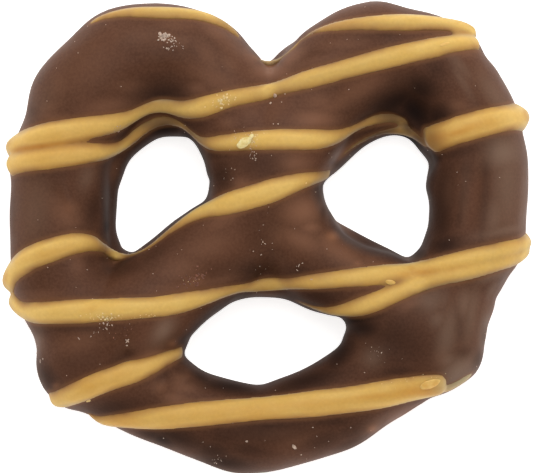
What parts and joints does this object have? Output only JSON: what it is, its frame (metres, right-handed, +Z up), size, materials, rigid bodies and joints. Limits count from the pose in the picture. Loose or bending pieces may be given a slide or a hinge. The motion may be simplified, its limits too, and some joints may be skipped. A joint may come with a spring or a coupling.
{
  "type": "chocolate covered pretzel",
  "caption": "Twisted mini pretzel coated all over in milk chocolate, with a peanut drizzle piped to and fro across it.",
  "frame": {"origin": "under the middle of the outline, on the surface that the pretzel rests on", "axes": "+Z up out of the decorated face, +Y from the bottom of the loop to the notch between the two lobes, +X to the right as seen from above"},
  "size_m": [0.0459, 0.0409, 0.0096],
  "materials": {
    "milk_chocolate": "satin"
  },
  "bodies": {
    "root": {"pretzel": "milk_chocolate"}
  },
  "joints": []
}
